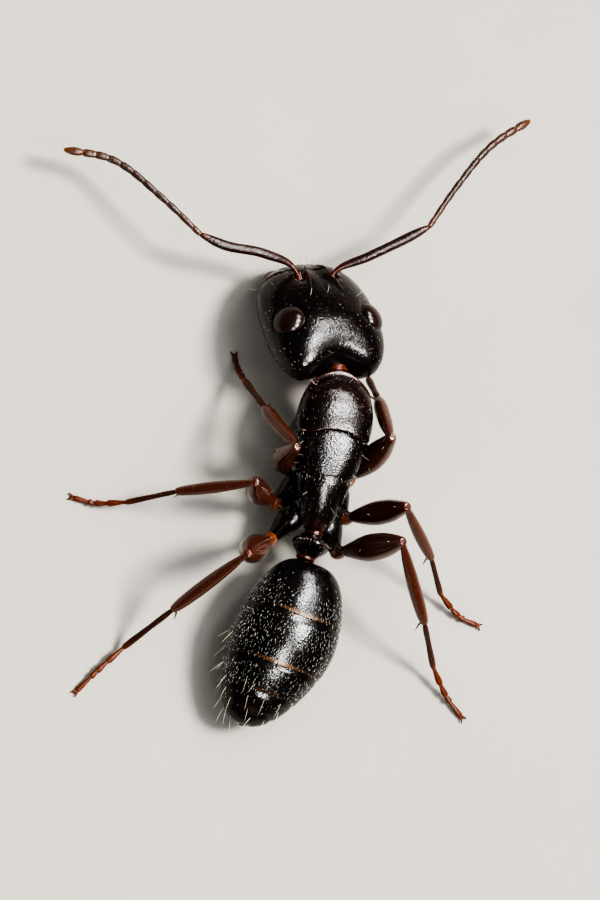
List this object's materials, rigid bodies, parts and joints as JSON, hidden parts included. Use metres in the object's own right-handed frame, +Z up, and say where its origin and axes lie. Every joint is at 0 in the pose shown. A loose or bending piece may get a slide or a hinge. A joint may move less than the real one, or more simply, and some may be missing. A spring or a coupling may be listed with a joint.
{
  "type": "carpenter ant model",
  "caption": "Life-size model of a standing black carpenter ant worker, head lowered and turned to its left, feelers spread.",
  "frame": {"origin": "on the floor plane, under the middle of the outline", "axes": "+Z up; the head points towards -Y and the gaster towards +Y, with the ant's left side towards +X"},
  "size_m": [0.0119, 0.0152, 0.0035],
  "materials": {
    "shell": "glossy black, finely shagreened",
    "rust": "glossy dark red-brown",
    "mandible": "glossy black-brown",
    "leg": "glossy dark mahogany",
    "trochanter": "glossy orange-brown",
    "tarsus": "satin orange-red",
    "feeler": "satin grey-brown",
    "eye": "glossy dark brown"
  },
  "bodies": {
    "root": {"head": "shell", "eye_left": "eye", "eye_right": "eye", "mandible_left": "mandible", "mandible_right": "mandible", "neck": "rust", "pronotum": "shell", "mesothorax": "shell", "propodeum": "shell", "petiole": "shell", "gaster_1": "shell", "gaster_2": "shell", "gaster_3": "shell", "gaster_4": "shell", "gaster_5": "shell", "scape_left": "feeler", "whip_base_left": "feeler", "whip_middle_left": "feeler", "whip_tip_left": "feeler", "scape_right": "feeler", "whip_base_right": "feeler", "whip_middle_right": "feeler", "whip_tip_right": "feeler", "coxa_front_left": "shell", "trochanter_front_left": "trochanter", "femur_front_left": "leg", "tibia_front_left": "leg", "metatarsus_front_left": "tarsus", "foot_front_left": "tarsus", "coxa_front_right": "shell", "trochanter_front_right": "trochanter", "femur_front_right": "leg", "tibia_front_right": "leg", "metatarsus_front_right": "tarsus", "foot_front_right": "tarsus", "coxa_middle_left": "shell", "trochanter_middle_left": "trochanter", "femur_middle_left": "leg", "tibia_middle_left": "leg", "metatarsus_middle_left": "tarsus", "foot_middle_left": "tarsus", "coxa_middle_right": "shell", "trochanter_middle_right": "trochanter", "femur_middle_right": "leg", "tibia_middle_right": "leg", "metatarsus_middle_right": "tarsus", "foot_middle_right": "tarsus", "coxa_hind_left": "shell", "trochanter_hind_left": "trochanter", "femur_hind_left": "leg", "tibia_hind_left": "leg", "metatarsus_hind_left": "tarsus", "foot_hind_left": "tarsus", "coxa_hind_right": "shell", "trochanter_hind_right": "trochanter", "femur_hind_right": "leg", "tibia_hind_right": "leg", "metatarsus_hind_right": "tarsus", "foot_hind_right": "tarsus"}
  },
  "joints": []
}
